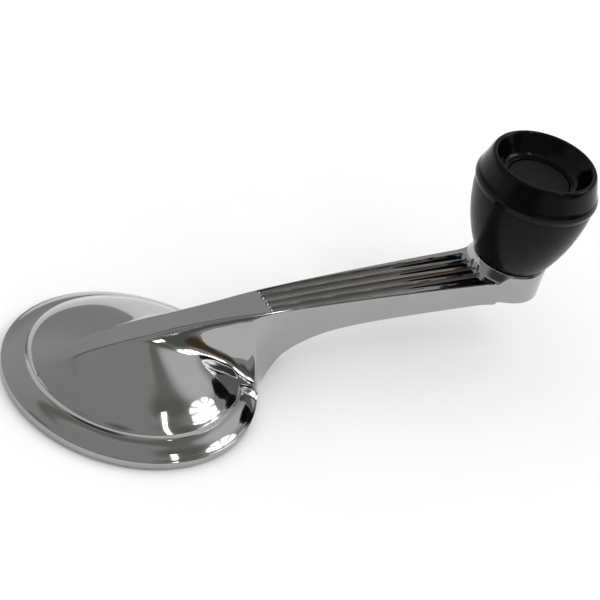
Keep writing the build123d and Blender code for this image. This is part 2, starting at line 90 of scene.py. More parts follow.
HUB_ROUND_MIDDLE = 0.12
ROOT_Z = (10.2, 10.9)       # heights over which the hub widens under the hollow's top
ROOT_OUT = 0.6
BORE_LAP = 0.2              # the hollow's top reaches this far into the bore
REBATE_ROUND = 0.15
LAND_ROUND = 0.12
CAVITY_ROUND = 0.25
RIB_LOW = 5.0
RIB_LEAST = 0.5             # least height of a rib
RIB_EDGE = ((0.62, 0), (0.8, 0.06), (0.9, 0.3))     # half width, and height above its edge
RIB_ROOT = (1.0, 0.2)       # half width at the ceiling, and how far it goes in
RIB_ANGLES = (45, 135, 225, 315)

# Crest: a band along the top of the dome and the arm, as formulas over x
CREST_LIMIT = 22.3
CREST_RISE = 6.7
CREST_LENGTH = 45
TAIL_DROP = 5.5
TAIL_LENGTH = 4.5
BAND_HALF = 2.95
BAND_TAPER = 0.0455
BAND_TIP = 5
BAND_PROUD = 0.02           # the band stands this much outside the CAD's edge

# Underside of the arm
UNDER_START = 32.5
UNDER_END = 93.2
UNDER_RISE = 12.2
UNDER_LENGTH = 7.6
UNDER_SLOPE = 0.047

# Foot of the dome on its way from the circle to the arm's side; angles are in degrees from the
# arm's line
SPREAD = 0.9                # it first runs out this far
SPREAD_FROM = 60
SPREAD_TURN = 32
CLOSING_FROM = 31.0         # then it closes on the flange's edge
NECK_FOOT_Z = 2.2           # and comes down to this height
CLOSING_POWER = 0.7
FILLET = 13.0               # plan radius of the fillet between flange and arm
FILLET_ANGLE = 24.0
FILLET_END = 258            # direction of the fillet's end, seen from its centre
JOIN = 36.6                 # x where the fillet meets the arm's side
JOIN_HALF = 4.62
SIDE_FROM = 39.3            # x from which that side runs along the band's edge
ARM_FROM = 37.2             # x of the first cross-section past the fillet

# Flare of the arm towards the boss, and the sweep up to the boss's flat top
TOUCH = 108.0
FLARE_BEND = 2.5
FLARE_START = 88.57
FLARE_END = 93
CREST_END = 108.0           # x on the crest of the last cross-section
RISER_FOOT = 10.6
RISER_TOP = 9.3
RISER_SLOPES = (0.1, 3.2)

# Flutes in the arm's top
FLUTE_FROM = 32.0
FLUTE_TO = 89.0
FLUTE_PITCH = (2.2, 2.7)    # at their two ends
FLUTE_RADIUS = (1.0, 1.16)
FLUTE_LIFT = 0.22           # their centres stand this far above the surface
FLUTE_LIP = 0.05
FLUTE_WIDTH = 0.98          # about half a flute's width at the arm's narrow end
FLUTE_STEPS = (1, 14, 2, 14, 3)     # mesh columns from the middle, between the flutes' edges

# Places of the cross-sections: x of each one's point on the crest, against its place outside
TAIL_X = -24.0
SIDE_ANGLE = 50             # where they start to crowd
SIDE_X = 14.0
NECK_X = 23.5
NECK_SLOPES = (9.0, 13.0)
UNDER_MEETS = 0.6           # share of the fillet at which the back's inner end is on y = 0
FRONT_COUNT = 96
SIDE_COUNT = 40
NECK_COUNT = 40
ARM_COUNT = 53
FLARE_COUNTS = (34, 26)
BOSS_COUNT = 56

# Flanks of the dome
DOME_TOP = 16.0
DOME_SLOPE = 0.38
DOME_ROLL = 0.24
DOME_ROLL_RADIUS = 22
DOME_BLEND = (-10, 8)       # x over which the tail's straight flank becomes the round dome
WALL_ANGLES = (45, 76)      # slope of the arm's wall as it rises out of the dome
WALL_BLEND = (-4, 17.5)
WALL_FILLETS = (1.0, 4.0)
FILLET_BLEND = (0, 12)
SWEEP_BLEND = (21.2, 26.4)  # x over which one sweep from crest to foot takes over
SWEEP_ROLL = 0.07
TAIL_FALL = ((0.79, 1), (0.13, 4), (0.08, 14))      # shares of the tail's fall, and their powers
PLATEAU = (0.75, 0.35)      # least height of the round dome above its foot
PLATEAU_SOFT = 0.5
FOOT_POWER = 14             # how late the dome turns down to its foot
FILLET_SHARE = 0.8
END_POWERS = (6, 8)         # how fast the fillets' own height fades at the flank's two ends
FOOT_SOFT = 0.3
FLANK_STEPS = 160
WALL_STEPS = 40

# Rounding of the band's edge: at the tail, over the dome and along the arm
EDGE_OUTSIDE = (0.8, 1.8, 0.55)
EDGE_INSIDE = (0.7, 1.3, 0.45)
EDGE_GROWS = (0, 8)
EDGE_SHRINKS = (17, 34)
EDGE_LIMITS = (0.45, 0.4)   # its most, as shares of the flank and of the band
EDGE_STEPS = 9

# Step, convex ring and rim; distances run outward from the dome's foot and shrink with the flange
TINY = 0.01                 # a distance below this counts as none
LEAST_WALL = 0.02
RIM_POWER = 0.6
STEP_GROWS = 2              # the step is at full height from half of the flange's width on
LIP_OUT = (0.13, 0.14)      # rounded top of the step: its corner and its end
LIP_DROP = (0.06, 0.22)
HEEL_OUT = (0.48, 0.52, 0.66)       # and its rounded foot: start, corner and end
HEEL_RISE = 0.1
RING_SAG = 0.02
RING_EDGE = 0.5             # the ring ends this far inside the rim's wall
RING_STRAIGHT = 0.45
RING_POWER = 2.2
RIM_ROUND = (0.12, 0.1)
BACK_ROUND = 0.25
BOSS_ROUND = 1.2            # and so much more under the boss
BOSS_ROUND_BLEND = (91, 96)
BACK_ROUND_SHARE = 0.4      # its most, as a share of the wall
BEND_STEPS = 4
RING_STEPS = 14
RIM_STEPS = 6
BACK_ROUND_STEPS = 5
BACK_STEPS = 8

# Turned surfaces of the casting's back and the knob
ROUND_SHARE = 0.45          # a rounding takes at most this share of a side
CEILING_STEPS = 18
RIB_STEPS = 30
HUB_STEPS = 96
KNOB_STEPS = 160
BARREL_STEPS = 48
COLLAR_STEPS = 7

# Knob: each point is (radius, height), and a third value is the rounding of that corner
BARREL_FOOT = (9.3, 24.4)
BARREL_MIDDLE = (13.2, 33.7)
BARREL_TOP = (14.95, 43.7)
BARREL_INSIDE = (3.4, 5.2)
BARREL_EDGE = ((14.9, 43.78), (11.0, 43.78))
BARREL_ROUND = 0.35
COLLAR = ((11.0, 43.8), (15.1, 43.8), (15.22, 44.4, 0.2), (15.4, 45.25, 0.35), (15.1, 46.2, 0.5),
          (14.72, 46.8, 0.4), (13.35, 51.1, 1.2), (12.9, 52.05, 0.7), (12.0, 52.1, 0.5),
          (11.55, 51.2, 0.7), (10.3, 48.9, 0.8), (9.5, 47.7, 0.6), (8.9, 47.3, 0.3),
          (7.95, 47.3, 0.15), (7.75, 46.85, 0.1), (7.7, 46.5))
COLLAR_ROUND = 0.3
PLUG = ((7.65, 46.4), (7.65, 46.75), (7.55, 46.86), (7.3, 46.9), (6.0, 46.86), (4.0, 46.81),
        (2.0, 46.78), (0.0, 46.77))

# Noise runs from about 0 to 1; tones and gloss change between these two values
NOISE_LOW = 0.3
NOISE_HIGH = 0.7

# Camera: lens in millimetres, turn, height and roll in degrees, aim in millimetres, distance in
# metres
SENSOR = 36.0
LENS = 148.51
CAMERA_ANGLES = (-39.494, 35.746, 18.167)
CAMERA_AIM = (39.237, -2.319, 20.0)
CAMERA_DISTANCE = 0.576153

# Light and floor in metres; directions are azimuth and elevation in degrees
LIGHT_AIM = (0.04, 0, 0.01)
STRIP_ENDS = ((-62, 48), (-38, 64))
STRIP_DISTANCE = 1.0
STRIP_WIDTH = 0.05
STRIP_RADIANCE = 11.0
STRIP_COLOUR = (1, 0.97, 0.94)
FLOOR_HALF = 3.0
FLOOR_DROP = 0.0002

# The room in the reflections: each zone is a direction, the angles from it at which the zone is
# full and at which it ends, and its tone
BACK_WALL = (80, 20, 20, 75)
ROOM_TONE = (0.45, 0.45, 0.45)
BACK_WALL_TONE = (0.50, 0.50, 0.505)
ROOM_ZONES = (
    (85, 18, 12, 50, (0.56, 0.56, 0.57)),
    (70, -8, 10, 40, (0.42, 0.42, 0.42)),
    (-145, 6, 14, 36, (0.085, 0.08, 0.075)),
    (-112, 36, 8, 24, (0.15, 0.15, 0.145)),
    (-80, 30, 8, 24, (0.13, 0.13, 0.12)),
    (-58, 36, 8, 26, (0.17, 0.17, 0.165)),
    (-48, 12, 8, 18, (0.10, 0.07, 0.04)),
    (-24, 60, 6, 16, (0.22, 0.22, 0.2)),
    (12, 42, 5, 17, (0.95, 0.95, 0.95)),
    (36, 58, 4, 12, (0.26, 0.26, 0.25)),
    (52, 64, 3, 10, (0.28, 0.28, 0.28)),
)
BEAM = (65, 60, 22, 40)     # zone in which a level beam shows
BEAM_HEIGHT = 62            # its elevation
BEAM_WIDTH = (0.055, 0.02)  # heights, off that one, at which it ends and is full
BEAM_TONE = (0.27, 0.265, 0.25)
UMBRELLA = (-14, 36)
UMBRELLA_RADIUS = 12.0
UMBRELLA_EDGE = 1.5
UMBRELLA_PANELS = 8
UMBRELLA_SEAM = (0.006, 0.035)      # in turns, on each side of a rib
UMBRELLA_SEAM_LIGHT = 0.12
UMBRELLA_TONE = (5.0, 5.0, 5.1)
SOFT_LIGHT = (1.15, 1.15, 1.15)
BACKGROUND = (1.0, 1.0, 1.0)


def smooth(value, low, high):
    """0 below low, 1 above high, and a smooth rise between them."""
    t = min(max((value - low) / (high - low), 0.0), 1.0)
    return t * t * (3 - 2 * t)


def mix(a, b, share):
    """The value that lies that share of the way from a to b."""
    return a + (b - a) * share


def hermite(t, start, end, slope_start, slope_end):
    """Cubic from start to end over t = 0..1 with those slopes."""
    return ((2 * t ** 3 - 3 * t ** 2 + 1) * start + (t ** 3 - 2 * t ** 2 + t) * slope_start
            + (3 * t ** 2 - 2 * t ** 3) * end + (t ** 3 - t ** 2) * slope_end)


def crest(x):
    """Height of the band along the top, over x."""
    rise = CREST_RISE * exp(-x / CREST_LENGTH)
    return CREST_LIMIT - rise - TAIL_DROP * exp(-(x + FOOT) / TAIL_LENGTH)


def half_band(x):
    """Half width of that band."""
    return (BAND_HALF + BAND_TAPER * x) * (1 - exp(-(x + FOOT) / BAND_TIP)) + BAND_PROUD


def underside(x):
    """Height of the arm's underside, over x."""
    run = max(x - UNDER_START, 0)
    low = UNDER_RISE * (1 - exp(-run / UNDER_LENGTH)) + UNDER_SLOPE * run
    return mix(low, BOSS_LOW, smooth(x, UNDER_END, UNDER_END + BOSS_NOTCH))


def foot_radius(angle):
    """Radius of the dome's foot; it runs out to the flange's edge where the neck begins."""
    spread = FOOT + SPREAD * smooth(SPREAD_FROM - angle, 0, SPREAD_TURN)
    return mix(spread, FLANGE, smooth(CLOSING_FROM - angle, 0, CLOSING_FROM - FILLET_ANGLE))


def top_height(x, y):
    """Height of the band, the arm's top and the boss, which sweeps up round the knob."""
    z = crest(x)
    run = (RISER_FOOT - hypot(x - ARM, y)) / (RISER_FOOT - RISER_TOP)
    if run <= 0:
        return z
    if run >= 1:
        return BOSS_TOP
    return hermite(run, z, BOSS_TOP, *RISER_SLOPES)


# Casting: stations along its outline, and one cross-section at each -------------------------

def station(outline, foot, band_x, under):
    """One station: plan points of the outline, the dome's foot and the back, and x on the band."""
    return {"outline": outline, "foot": foot, "x": band_x, "under": under}


def on_circle(radius, angle, x=0.0):
    """Plan point on a circle about an upright axis at x; the angle is in radians."""
    return (x + radius * cos(angle), radius * sin(angle))


def flange_stations():
    """Stations round the flange, from the tail to where the neck's fillet leaves it."""
    out = []
    front = np.linspace(0, 1, FRONT_COUNT + 1)[:-1]
    side = np.linspace(0, 1, SIDE_COUNT + 1)[:-1]
    places = [(mix(180, SIDE_ANGLE, t), mix(TAIL_X, SIDE_X, t)) for t in front]
    places += [(mix(SIDE_ANGLE, FILLET_ANGLE, t), mix(SIDE_X, NECK_X, t)) for t in side]
    for angle, x in places:
        turn = radians(angle)
        foot = on_circle(foot_radius(angle), turn)
        out.append(station(on_circle(FLANGE, turn), foot, x, rebate_point(angle)))
    return out


def rebate_point(angle):
    """Plan point on the rebate's outer edge."""
    return on_circle(REBATE_OUT, radians(angle))


def neck_stations():
    """Stations round the neck's fillet, and on to where the dome's foot meets the arm's side."""
    out = []
    centre = on_circle(FLANGE + FILLET, radians(FILLET_ANGLE))
    for share in np.linspace(0, 1, NECK_COUNT + 1):
        angle = radians(mix(180 + FILLET_ANGLE, FILLET_END, share))
        outline = (centre[0] + FILLET * cos(angle), centre[1] + FILLET * sin(angle))
        x = hermite(share, NECK_X, JOIN, *NECK_SLOPES)
        under = rebate_point(mix(FILLET_ANGLE, 0, min(share / UNDER_MEETS, 1)))
        if share > UNDER_MEETS:
            under = (mix(REBATE_OUT, JOIN, (share - UNDER_MEETS) / (1 - UNDER_MEETS)), 0)
        out.append(station(outline, outline, x, under))
    return out


def arm_stations():
    """Stations along the arm, up to the flare at its end."""
    out = []
    run = SIDE_FROM - JOIN
    for x in np.linspace(ARM_FROM, FLARE_START, ARM_COUNT + 1)[:-1]:
        half = half_band(x)
        if x <= SIDE_FROM:
            half = mix(JOIN_HALF, half_band(SIDE_FROM), (x - JOIN) / run)
        out.append(station((x, half), (x, half), x, (x, 0)))
    return out


def flare_outline():
    """Plan points of the arm's flare: a short bend, and a straight stretch on to the boss."""
    touch = radians(TOUCH)
    end = on_circle(BOSS, touch, ARM)
    slope = -cos(touch) / sin(touch)
    corner = FLARE_START + FLARE_BEND
    begin = (FLARE_START, half_band(FLARE_START))
    straight = (corner + FLARE_BEND, end[1] + slope * (corner + FLARE_BEND - end[0]))
    turn = bend(begin, (corner, half_band(corner)), straight, FLARE_COUNTS[0])
    shares = np.linspace(0, 1, FLARE_COUNTS[1])[1:-1]
    line = [mix(np.array(straight), np.array(end), t) for t in shares]
    return [tuple(p) for p in list(turn) + line], end


def boss_stations():
    """Stations along the flare and round the boss to its far end."""
    out = []
    outline, end = flare_outline()
    for point in outline:
        x = point[0]
        if x < FLARE_END:
            share = (x - FLARE_START) / (FLARE_END - FLARE_START)
            under = (mix(FLARE_START, ARM - POCKET, share), 0)
        else:
            share = (x - FLARE_END) / (end[0] - FLARE_END)
            under = on_circle(POCKET, radians(mix(180, TOUCH, share)), ARM)
        out.append(station(point, point, x, under))
    for share in np.linspace(0, 1, BOSS_COUNT + 1):
        turn = radians(mix(TOUCH, 0, share))
        point = on_circle(BOSS, turn, ARM)
        crest_x = mix(end[0], CREST_END, share)
        out.append(station(point, point, crest_x, on_circle(POCKET, turn, ARM)))
    return out


def flute_depth(x, y):
    """Depth of the flutes at a point of the arm's top, with softly rounded lips."""
    along = min(max((x - FLUTE_FROM) / (FLUTE_TO - FLUTE_FROM), 0), 1)
    pitch = mix(*FLUTE_PITCH, along)
    radius = mix(*FLUTE_RADIUS, along)
    beyond = max(FLUTE_FROM - x, x - FLUTE_TO, 0)
    nearest = min(abs(abs(y) - pitch * 0.5), abs(abs(y) - pitch * 1.5))
    away = hypot(beyond, nearest)
    if away >= radius:
        return 0.0
    raw = sqrt(radius ** 2 - away ** 2) - FLUTE_LIFT + top_height(x, y) - crest(x)
    return 0.5 * (raw + sqrt(raw ** 2 + FLUTE_LIP ** 2))


def band_shares():
    """Places of the band's columns across half its width, fine across the two flutes."""
    pitch = FLUTE_PITCH[0]
    edges = [pitch * middle + side for middle in (0.5, 1.5) for side in (-FLUTE_WIDTH, FLUTE_WIDTH)]
    knots = [0] + [e / (2 * pitch) for e in edges] + [1.0]
    out = []
    for low, high, count in zip(knots, knots[1:], FLUTE_STEPS):
        out += [mix(low, high, step / count) for step in range(count)]
    return out + [1.0]


def round_dome(reach):
    """Height of the round dome at that distance from the shaft's axis."""
    roll = DOME_ROLL * reach ** 7 / (7 * DOME_ROLL_RADIUS ** 6)
    return DOME_TOP - DOME_SLOPE * reach - roll


def joined(a, b, soft):
    """The higher of two heights, with a fillet where they meet."""
    return 0.5 * (a + b + hypot(a - b, soft))


def flank_height(s, top, v, point, length):
    """Height of the flank: the dome, with the arm's wall that grows out of it towards the neck."""
    x, base = s["x"], s["foot_z"]
    fall = sum(share * v ** power for share, power in TAIL_FALL)
    falling = base + (top - base) * (1 - fall)
    cone = joined(round_dome(hypot(*point)) - base, mix(*PLATEAU, v), PLATEAU_SOFT)
    cone = base + cone * (1 - v ** FOOT_POWER)
    dome = min(mix(falling, cone, smooth(x, *DOME_BLEND)), top)
    slope = tan(radians(mix(*WALL_ANGLES, smooth(x, *WALL_BLEND))))
    start = s["dome_start"]
    soft = min(mix(*WALL_FILLETS, smooth(x, *FILLET_BLEND)), FILLET_SHARE * max(top - start, 0))
    above_start = joined(start, top, soft) - top
    above_foot = joined(base, top - slope * length, soft) - base
    bowl = joined(dome, top - slope * v * length, soft)
    bowl -= above_start * (1 - v) ** END_POWERS[0] + above_foot * v ** END_POWERS[1]
    sweep = base + (top - base) * mix(1 - v, sqrt(1 - v * v), SWEEP_ROLL)
    return mix(bowl, sweep, smooth(x, *SWEEP_BLEND))


def flank_point(s, start, v):
    """Point of the dome's flank, or of the arm's side wall: v is 0 at the band, 1 at the foot."""
    x, y, z = start
    fx, fy = s["foot"]
    length = hypot(fx - x, fy - y)
    if length < LEAST_WALL:
        return (fx, fy, mix(z, s["foot_z"], v))
    point = (mix(x, fx, v), mix(y, fy, v))
    height = flank_height(s, z, v, point, length) if v < 1 else s["foot_z"]
    return (*point, height)


def even_steps(points, count):
    """Points at even distances along a line of points."""
    p = np.array(points)
    gaps = np.linalg.norm(np.diff(p, axis=0), axis=1)
    run = np.concatenate([[0], np.cumsum(gaps)])
    want = np.linspace(0, run[-1], count)
    return np.stack([np.interp(want, run, p[:, k]) for k in range(3)], axis=1)


def bend(first, corner, last, count):
    """Points of the rounded corner between two points."""
    t = np.linspace(0, 1, count)[:, None]
    a, b, c = (np.array(p, float) for p in (first, corner, last))
    return (1 - t) ** 2 * a + 2 * t * (1 - t) * b + t ** 2 * c


def edge_size(x, sizes):
    """Size of the rounding of the band's edge, over x."""
    tail, dome, arm = sizes
    return mix(mix(tail, dome, smooth(x, *EDGE_GROWS)), arm, smooth(x, *EDGE_SHRINKS))


def section(s):
    """Cross-section of the casting at a station, from its middle line to its back."""
    x = s["x"]
    on_boss = x >= FLARE_START
    (ox, oy), (fx, fy) = s["outline"], s["foot"]
    half = oy if on_boss else min(half_band(x), oy) if x > JOIN else half_band(x)
    edge_x = ox if on_boss else x
    gap = hypot(ox - fx, oy - fy)
    low = underside(ox)
    foot_z = mix(NECK_FOOT_Z, FOOT_Z, min(gap / (FLANGE - FOOT), 1) ** CLOSING_POWER)
    s["foot_z"] = joined(low, foot_z, FOOT_SOFT)
    corner = (edge_x, half, top_height(edge_x, half))
    start = round_dome(hypot(edge_x, half))
    s["dome_start"] = min(mix(corner[2], start, smooth(x, *DOME_BLEND)), corner[2])
    flank = [flank_point(s, corner, v) for v in np.linspace(0, 1, FLANK_STEPS)]
    steps = np.array(flank)
    run = np.concatenate([[0], np.cumsum(np.linalg.norm(np.diff(steps, axis=0), axis=1))])
    outer = min(edge_size(x, EDGE_OUTSIDE), EDGE_LIMITS[0] * run[-1])
    inner = min(edge_size(x, EDGE_INSIDE), EDGE_LIMITS[1] * half)
    begin = (edge_x, half - inner, top_height(edge_x, half - inner))
    after = [np.interp(outer, run, steps[:, k]) for k in range(3)]
    points = []
    for share in SHARES[:-1]:
        y = share * (half - inner)
        px = mix(x, edge_x, share) if on_boss else x
        points.append((px, y, top_height(px, y) - flute_depth(px, y)))
    points += list(bend(begin, corner, after, EDGE_STEPS))
    rest = [after] + [p for p, r in zip(flank, run) if r > outer]
    points += list(even_steps(rest, WALL_STEPS)[1:])
    return points + rim_section(s, gap, low)


def rim_section(s, gap, low):
    """The step, the convex ring, the rim's wall and the back, outside the dome's foot."""
    (ox, oy), (fx, fy) = s["outline"], s["foot"]
    is_open = gap > TINY
    scale = min(gap / (FLANGE - FOOT), 1)
    out_x, out_y = ((ox - fx) / gap, (oy - fy) / gap) if is_open else (0, 0)
    top = s["foot_z"]
    rim_top = mix(top, RIM_TOP, scale ** RIM_POWER) if is_open else top
    drop = min(scale * STEP_GROWS, 1)
    ring_z = mix(top, RING_Z, drop)
    shoulder = min(SHOULDER_Z + rim_top - RIM_TOP, ring_z)

    def at(distance, z):
        """Point that far outside the foot."""
        return (fx + out_x * distance, fy + out_y * distance, z)

    lip = [at(run * scale, top - fall * drop) for run, fall in zip(LIP_OUT, LIP_DROP)]
    points = list(bend(at(0, top), *lip, BEND_STEPS))[1:]
    rises = (HEEL_RISE, 0, -RING_SAG)
    heel = [at(run * scale, ring_z + rise * drop) for run, rise in zip(HEEL_OUT, rises)]
    points += list(bend(*heel, BEND_STEPS))
    ring_to = gap - RING_EDGE * scale
    for t in np.linspace(0, 1, RING_STEPS + 1)[1:]:
        bulge = RING_STRAIGHT * t + (1 - RING_STRAIGHT) * t ** RING_POWER
        z = ring_z - (ring_z - shoulder) * bulge - RING_SAG * drop * (1 - t)
        points.append(at(mix(HEEL_OUT[2] * scale, ring_to, t), z))
    wall_top = rim_top - RIM_ROUND[1] * scale
    rim = at(gap, shoulder - RIM_ROUND[0] * scale)
    points += list(bend(at(ring_to, shoulder), rim, at(gap, wall_top), RIM_STEPS))[1:]
    return points + back_section(s, at, gap, wall_top, low)


def back_section(s, at, gap, wall_top, low):
    """The rim's wall below its top, its rounded lower edge and the back."""
    ox, oy = s["outline"]
    edge = BACK_ROUND + BOSS_ROUND * smooth(ox, *BOSS_ROUND_BLEND)
    edge = min(edge, BACK_ROUND_SHARE * max(wall_top - low, LEAST_WALL) + LEAST_WALL)
    points = [at(gap, mix(wall_top, low + edge, 0.5))]
    ux, uy = s["under"]
    share = edge / hypot(ux - ox, uy - oy)
    back = (mix(ox, ux, share), mix(oy, uy, share), low)
    points += list(bend(at(gap, low + edge), at(gap, low), back, BACK_ROUND_STEPS))
    for t in np.linspace(0, 1, BACK_STEPS + 1)[1:]:
        px, py = mix(back[0], ux, t), mix(back[1], uy, t)
        points.append((px, py, underside(px)))
    return points


SHARES = band_shares()


def grid_faces(rows, columns, offset=0):
    """Quads of a grid of rows and columns of vertices."""
    faces = []
    for r in range(rows - 1):
        for c in range(columns - 1):
            a = offset + r * columns + c
            faces.append((a, a + 1, a + columns + 1, a + columns))
    return faces


def mesh_from(name, points, faces, sharp=38, merge=0.002):
    """A mesh object from points in millimetres, with doubles merged and normals outward."""
    mesh = bpy.data.meshes.new(name)
    mesh.from_pydata([tuple(float(c) * MM for c in p) for p in points], [], faces)
    work = bmesh.new()
    work.from_mesh(mesh)
    bmesh.ops.remove_doubles(work, verts=work.verts, dist=merge * MM)
    bmesh.ops.dissolve_degenerate(work, edges=work.edges, dist=merge * MM)
    bmesh.ops.recalc_face_normals(work, faces=work.faces)
    work.to_mesh(mesh)
    work.free()
    for polygon in mesh.polygons:
        polygon.use_smooth = True
    mesh.set_sharp_from_angle(angle=radians(sharp))
    thing = bpy.data.objects.new(name, mesh)
    bpy.context.scene.collection.objects.link(thing)
    return thing


def casting_shell():
    """Points and faces of the casting's outside, both halves, without the flange's hollow back."""
    stations = flange_stations() + neck_stations() + arm_stations() + boss_stations()
    half = [section(s) for s in stations]
    columns = len(half[0])
    points = [p for row in half for p in row]
    faces = grid_faces(len(half), columns)
    mirrored = [(p[0], -p[1], p[2]) for p in points]
    flipped = [tuple(reversed([i + len(points) for i in f])) for f in faces]
    return stations, points + mirrored, faces + flipped


def lathe(profile, angles, x=0.0):
    """Points and faces of a profile turned about an upright axis, round the given angles."""
    points = [(x + r * cos(a), r * sin(a), z) for a in angles for r, z in profile]
    count = len(profile)
    faces = grid_faces(len(angles), count)
    last = (len(angles) - 1) * count
    for c in range(count - 1):
        faces.append((last + c, last + c + 1, c + 1, c))
    return points, faces


def full_turn(count):
    """Evenly spaced angles of a whole turn."""
    return [2 * pi * k / count for k in range(count)]


def rounded(corners, radius, steps=5):
    """A profile with its inner corners rounded; each corner is (r, z) or (r, z, radius)."""
    out = [tuple(corners[0][:2])]
    for before, here, after in zip(corners, corners[1:], corners[2:]):
        size = here[2] if len(here) > 2 else radius
        a, b, c = (np.array(p[:2], float) for p in (before, here, after))
        sides = (np.linalg.norm(a - b), np.linalg.norm(c - b))
        size = min(size, ROUND_SHARE * min(sides))
        first = b + (a - b) / sides[0] * size
        last = b + (c - b) / sides[1] * size
        out += [tuple(p) for p in bend(first, b, last, steps)]
    out.append(tuple(corners[-1][:2]))
    return out


def arc_through(a, b, c, steps):
    """Points of the circle arc through three (r, z) points."""
    (ax, ay), (bx, by), (cx, cy) = a, b, c
    d = 2 * (ax * (by - cy) + bx * (cy - ay) + cx * (ay - by))
    ux = ((ax ** 2 + ay ** 2) * (by - cy) + (bx ** 2 + by ** 2) * (cy - ay)
          + (cx ** 2 + cy ** 2) * (ay - by)) / d
    uy = ((ax ** 2 + ay ** 2) * (cx - bx) + (bx ** 2 + by ** 2) * (ax - cx)
          + (cx ** 2 + cy ** 2) * (bx - ax)) / d
    first = np.arctan2(ay - uy, ax - ux)
    turn = (np.arctan2(cy - uy, cx - ux) - first + pi) % (2 * pi) - pi
    radius = hypot(ax - ux, ay - uy)
    return [(ux + radius * cos(first + turn * t), uy + radius * sin(first + turn * t))
            for t in np.linspace(0, 1, steps)]


def cut(thing, low, high):
    """Cuts a box between two corners out of a closed mesh object."""
    work = bmesh.new()
    bmesh.ops.create_cube(work, size=1)
    for v in work.verts:
        v.co = Vector([mix(a, b, c + 0.5) * MM for a, b, c in zip(low, high, v.co)])
    tool_mesh = bpy.data.meshes.new("tool")
    work.to_mesh(tool_mesh)
    work.free()
    tool = bpy.data.objects.new("tool", tool_mesh)
    bpy.context.scene.collection.objects.link(tool)
    modifier = thing.modifiers.new("cut", "BOOLEAN")
    modifier.object = tool
    modifier.operation = "DIFFERENCE"
    modifier.solver = "EXACT"
    bpy.context.view_layer.update()
    shape = thing.evaluated_get(bpy.context.evaluated_depsgraph_get())
    thing.data = bpy.data.meshes.new_from_object(shape)
    thing.modifiers.clear()
    bpy.data.objects.remove(tool)


def join(name, parts):
    """One object from several, keeping their meshes' normals."""
    bpy.ops.object.select_all(action="DESELECT")
    for part in parts:
        part.select_set(True)
    bpy.context.view_layer.objects.active = parts[0]
    bpy.ops.object.join()
    parts[0].name = name
    return parts[0]


def hub():
    """The hub in the flange's hollow, with the two slots that hold the clip's legs."""
    ring = [(BORE, HUB_CHAMFER), (BORE + HUB_CHAMFER, 0), (HUB - HUB_ROUND, 0),
            (HUB - HUB_ROUND_MIDDLE, HUB_ROUND_MIDDLE), (HUB, HUB_ROUND), (HUB, ROOT_Z[0]),
            (HUB + ROOT_OUT, ROOT_Z[1]), (HUB + ROOT_OUT, INSERT_TOP), (BORE, INSERT_TOP),
            (BORE, HUB_CHAMFER)]
    thing = mesh_from("hub", *lathe(ring, full_turn(HUB_STEPS)))
    for side in (1, -1):
        ys = sorted(side * y for y in SLOT_Y)
        cut(thing, (-SLOT_REACH, ys[0], SLOT_Z[0]), (SLOT_REACH, ys[1], SLOT_Z[1]))
    return thing


def ceiling(steps):
    """Points of the round hollow's ceiling, from its edge to the hub."""
    return arc_through((CAVITY, CAVITY_EDGE_Z), CAVITY_MIDDLE, (HUB, CAVITY_TOP), steps)


def hollow(angles):
    """Back of the flange inside the rebate's outer edge: rebate, land and the round hollow."""
    corners = [(REBATE_OUT, 0), (REBATE_OUT, REBATE_DEPTH), (REBATE_IN, REBATE_DEPTH),
               (REBATE_IN, 0, LAND_ROUND), (CAVITY, 0, CAVITY_ROUND), (CAVITY, CAVITY_EDGE_Z)]
    inside = BORE - BORE_LAP
    profile = rounded(corners, REBATE_ROUND) + ceiling(CEILING_STEPS)[1:]
    profile += [(inside, ROOT_Z[1]), (inside, INSERT_TOP), (0, INSERT_TOP)]
    return mesh_from("hollow", *lathe(profile, angles))


def rib(angle):
    """A rib from the hub to the hollow's wall, with draft on its sides and a rounded edge."""
    reach = [p for p in ceiling(RIB_STEPS) if p[1] > RIB_LOW + RIB_LEAST]
    points = []
    for r, high in reach:
        half = [(w, RIB_LOW + rise) for w, rise in RIB_EDGE]
        half.append((RIB_ROOT[0], high + RIB_ROOT[1]))
        points += [(r, -w, z) for w, z in reversed(half)] + [(r, w, z) for w, z in half]
    turn = Matrix.Rotation(radians(angle), 4, "Z")
    points = [tuple(turn @ Vector(p)) for p in points]
    count = 2 * (len(RIB_EDGE) + 1)
    last = (len(reach) - 1) * count
    faces = grid_faces(len(reach), count)
    faces += [tuple(range(count)), tuple(range(last, last + count))]
    return mesh_from("rib", points, faces)


def turns_on(stations, radius, x=0.0):
    """Angles, round the whole turn, of the stations' back points that lie on a circle about x."""
    places = [(s["under"][0] - x, s["under"][1]) for s in stations]
    half = sorted({round(float(np.arctan2(b, a)), 6) for a, b in places
                   if abs(hypot(a, b) - radius) < TINY})
    return half + [-t for t in reversed(half) if 0 < t < pi - 1e-4]


def casting():
    """The whole casting, with its hollow back, hub and ribs."""
    stations, points, faces = casting_shell()
    shell = mesh_from("shell", points, faces)
    pocket_z = BOSS_LOW + POCKET_DEPTH
    pocket = [(POCKET, BOSS_LOW), (POCKET, pocket_z), (0, pocket_z)]
    boss_pocket = mesh_from("pocket", *lathe(pocket, turns_on(stations, POCKET, ARM), ARM))
    back = hollow(turns_on(stations, REBATE_OUT))
    parts = [shell, boss_pocket, back, hub()] + [rib(a) for a in RIB_ANGLES]
    return join("casting_body", parts)


# Knob ---------------------------------------------------------------------------------------

def turned(name, profile):
    """A piece turned about the knob's axis."""
    return mesh_from(name, *lathe(profile, full_turn(KNOB_STEPS), ARM))


